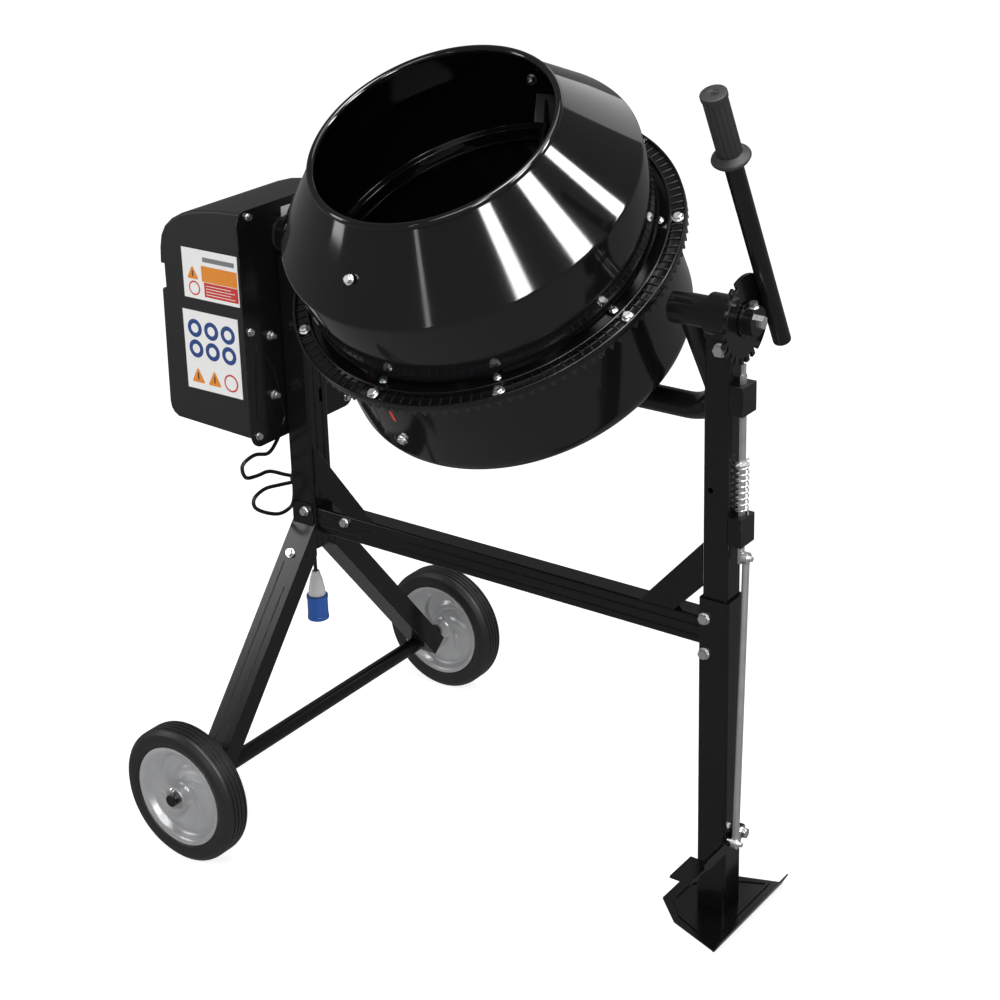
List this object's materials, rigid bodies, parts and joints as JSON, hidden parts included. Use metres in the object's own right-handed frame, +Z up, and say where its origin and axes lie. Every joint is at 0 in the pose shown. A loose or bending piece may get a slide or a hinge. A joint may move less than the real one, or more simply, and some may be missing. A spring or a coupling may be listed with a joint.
{
  "type": "concrete mixer",
  "caption": "Electric concrete mixer: tilting drum with ring gear on a yoke between two posts, belt drive under a cover, tilt lever with foot-released latch, wheels on one side.",
  "frame": {"origin": "on the floor, under the middle of the lever post's foot plate", "axes": "+Z up; +X from the motor post towards the lever post; -Y towards the side that the drum tips to"},
  "size_m": [1.096, 0.779, 1.3365],
  "materials": {
    "black_paint": "gloss black enamel over sheet steel and tube",
    "gear_black": "black painted cast iron with machined teeth",
    "gear_steel": "machined steel",
    "zinc": "bright zinc plate",
    "spring_wire": "bright spring wire",
    "cover_grey": "matte dark grey moulded plastic",
    "motor_alu": "cast aluminium, satin",
    "tyre_black": "moulded rubber",
    "rim_grey": "grey painted pressed steel",
    "grip_rubber": "ribbed dark rubber",
    "cable_black": "rubber sheath",
    "belt_rubber": "ribbed belt rubber",
    "plug_white": "white moulded plastic",
    "plug_blue": "blue moulded plastic",
    "label_white": "printed film with plain bars and shapes",
    "switch_black": "black moulded plastic",
    "button_green": "green moulded plastic",
    "button_red": "red moulded plastic",
    "blade_steel": "black painted sheet steel"
  },
  "bodies": {
    "stand": {"right_post": "black_paint", "right_leg": "black_paint", "foot_plate": "black_paint", "left_post": "black_paint", "cross_beam": "black_paint", "left_brace": "black_paint", "right_brace": "black_paint", "front_wheel_leg": "black_paint", "rear_wheel_leg": "black_paint", "axle": "black_paint", "wheel_retainers": "zinc", "frame_bolts": "zinc", "left_bearing": "black_paint", "right_bearing": "black_paint", "motor_plate": "black_paint", "motor_cover": "cover_grey", "cover_screws": "zinc", "motor_housing": "motor_alu", "motor_capacitor": "plug_white", "switch_box": "switch_black", "drive_belt": "belt_rubber", "cable_gland": "switch_black", "cable_clip": "switch_black", "latch_guides": "black_paint", "label_panels": "label_white", "pedal_pivot": "zinc", "latch_spring": "spring_wire", "power_cord": "cable_black", "plug_body": "plug_white", "plug_shroud": "plug_blue"},
    "yoke": {"yoke_frame": "black_paint", "index_disc": "black_paint", "tilt_lever": "black_paint", "lever_grip": "grip_rubber", "lever_bolt": "zinc", "drum_spindle": "zinc", "pinion_bearings": "zinc"},
    "drum": {"drum_bowl": "black_paint", "drum_cone": "black_paint", "ring_gear": "gear_black", "ring_bolts": "zinc", "mixing_blades": "blade_steel", "blade_bolts": "zinc", "drum_hub": "motor_alu", "hub_bearings": "zinc"},
    "pinion": {"pinion_gear": "gear_steel", "pinion_shaft": "gear_steel", "driven_pulley": "motor_alu"},
    "motor_rotor": {"motor_shaft": "gear_steel", "motor_pulley": "gear_steel", "motor_fan": "switch_black"},
    "front_wheel": {"front_tyre": "tyre_black", "front_rim": "rim_grey"},
    "rear_wheel": {"rear_tyre": "tyre_black", "rear_rim": "rim_grey"},
    "latch": {"latch_bar": "zinc", "pull_rod": "zinc"},
    "pedal": {"foot_pedal": "black_paint"},
    "start": {"start_button": "button_green"},
    "stop": {"stop_button": "button_red"}
  },
  "joints": [
    {"name": "tilt", "type": "hinge", "parent": "stand", "child": "yoke", "pos_m": [-0.4, 0, 0.98], "axis": [1, 0, 0], "range_deg": [-30, 105]},
    {"name": "drum_spin", "type": "hinge", "parent": "yoke", "child": "drum", "pos_m": [-0.4, 0, 0.98], "axis": [0, -0.5, 0.866], "continuous": true},
    {"name": "pinion_spin", "type": "hinge", "parent": "yoke", "child": "pinion", "pos_m": [-0.7, 0, 0.98], "axis": [1, 0, 0], "continuous": true},
    {"name": "motor_spin", "type": "hinge", "parent": "stand", "child": "motor_rotor", "pos_m": [-0.9, 0, 0.765], "axis": [1, 0, 0], "continuous": true},
    {"name": "front_wheel_spin", "type": "hinge", "parent": "stand", "child": "front_wheel", "pos_m": [-0.8, -0.35, 0.118], "axis": [0, 1, 0], "continuous": true},
    {"name": "rear_wheel_spin", "type": "hinge", "parent": "stand", "child": "rear_wheel", "pos_m": [-0.8, 0.35, 0.118], "axis": [0, 1, 0], "continuous": true},
    {"name": "latch_slide", "type": "slide", "parent": "stand", "child": "latch", "axis": [0, 0, 1], "range_m": [-0.012, 0.008], "stiffness_N_per_m": 1500, "springref_m": 0.0058, "deforming": ["latch_spring"]},
    {"name": "pedal_hinge", "type": "hinge", "parent": "stand", "child": "pedal", "pos_m": [0.03, 0.012, 0.14], "axis": [1, 0, 0], "range_deg": [-15, 22]},
    {"name": "start_press", "type": "slide", "parent": "stand", "child": "start", "axis": [1, 0, 0], "range_m": [0, 0.003], "stiffness_N_per_m": 600},
    {"name": "stop_press", "type": "slide", "parent": "stand", "child": "stop", "axis": [1, 0, 0], "range_m": [0, 0.003], "stiffness_N_per_m": 600}
  ],
  "couplings": [
    {"joint": "pinion_spin", "follows": "drum_spin", "ratio": 10},
    {"joint": "motor_spin", "follows": "drum_spin", "ratio": 40},
    {"joint": "pedal_hinge", "follows": "latch_slide", "rad_per_m": -31.25}
  ]
}
